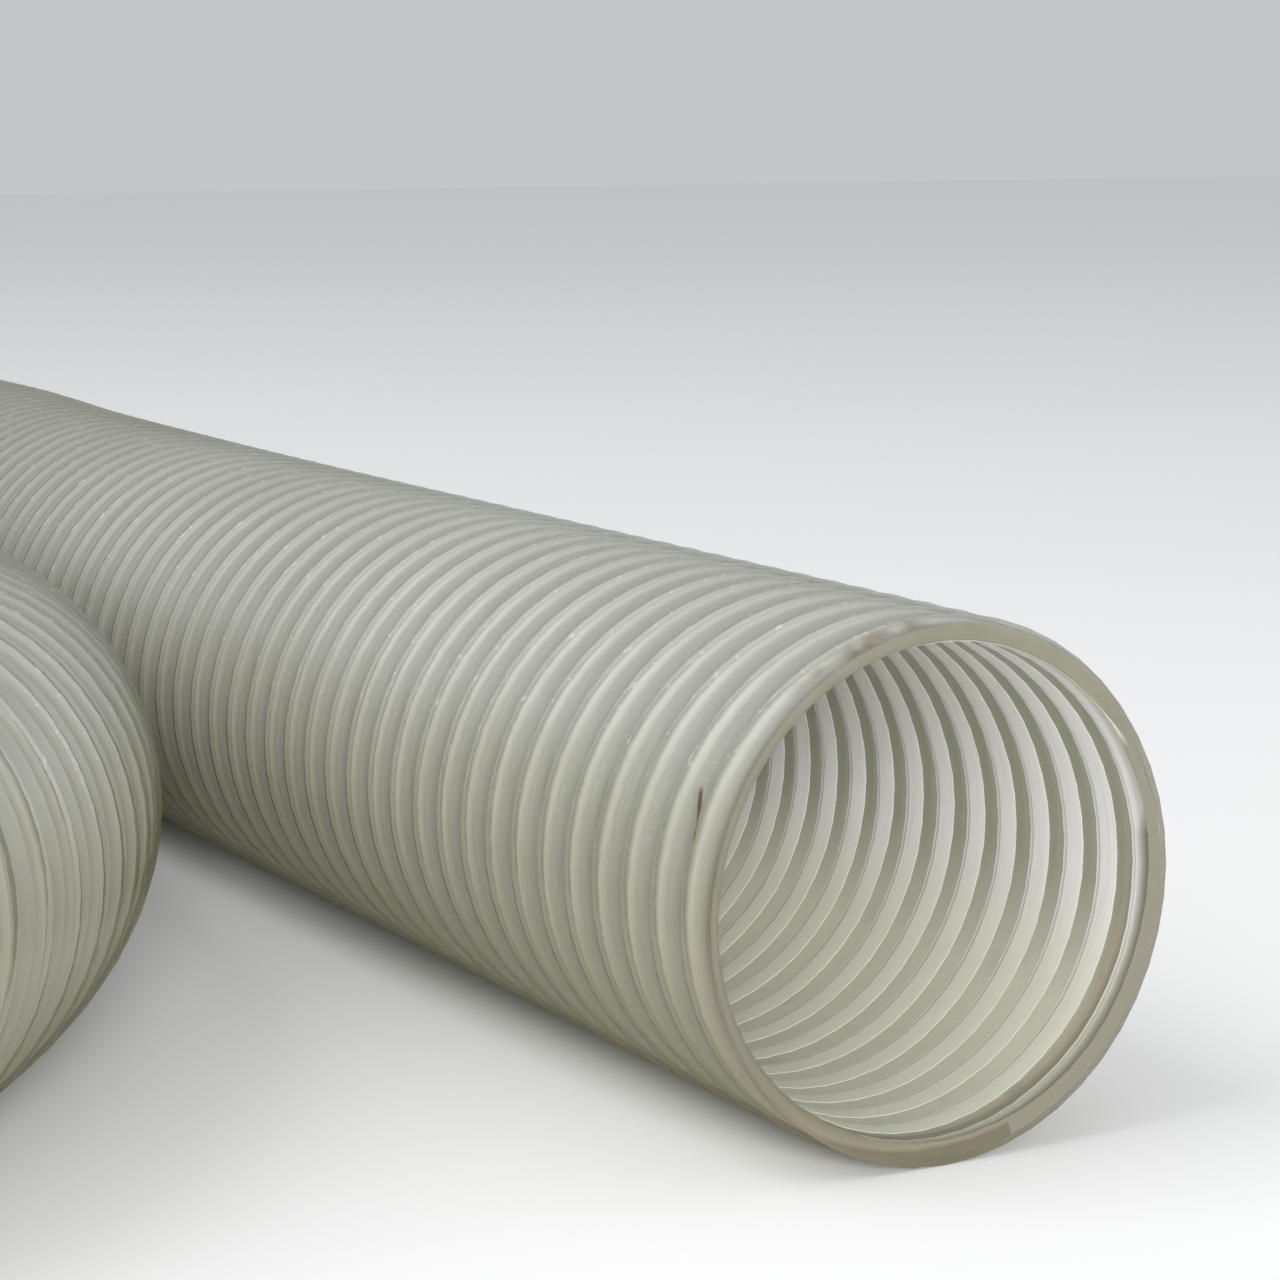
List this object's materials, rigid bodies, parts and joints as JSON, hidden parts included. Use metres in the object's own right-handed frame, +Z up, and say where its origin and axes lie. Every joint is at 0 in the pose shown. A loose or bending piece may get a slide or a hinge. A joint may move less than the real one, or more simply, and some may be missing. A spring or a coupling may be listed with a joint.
{
  "type": "dust collection hose",
  "caption": "Clear flexible hose with a rigid white spiral rib, open at both ends, lying in a loose coil.",
  "frame": {"origin": "on the floor, under the middle of the coil's bounding box", "axes": "+X along the coil's long side, the way the near mouth opens; +Z up from the floor"},
  "size_m": [1.005, 0.7036, 0.1104],
  "materials": {
    "clear_pvc": "glossy, clear with a grey-green cast",
    "white_pvc": "glossy off-white"
  },
  "bodies": {
    "root": {"clear_wall": "clear_pvc", "white_helix": "white_pvc"}
  },
  "joints": []
}
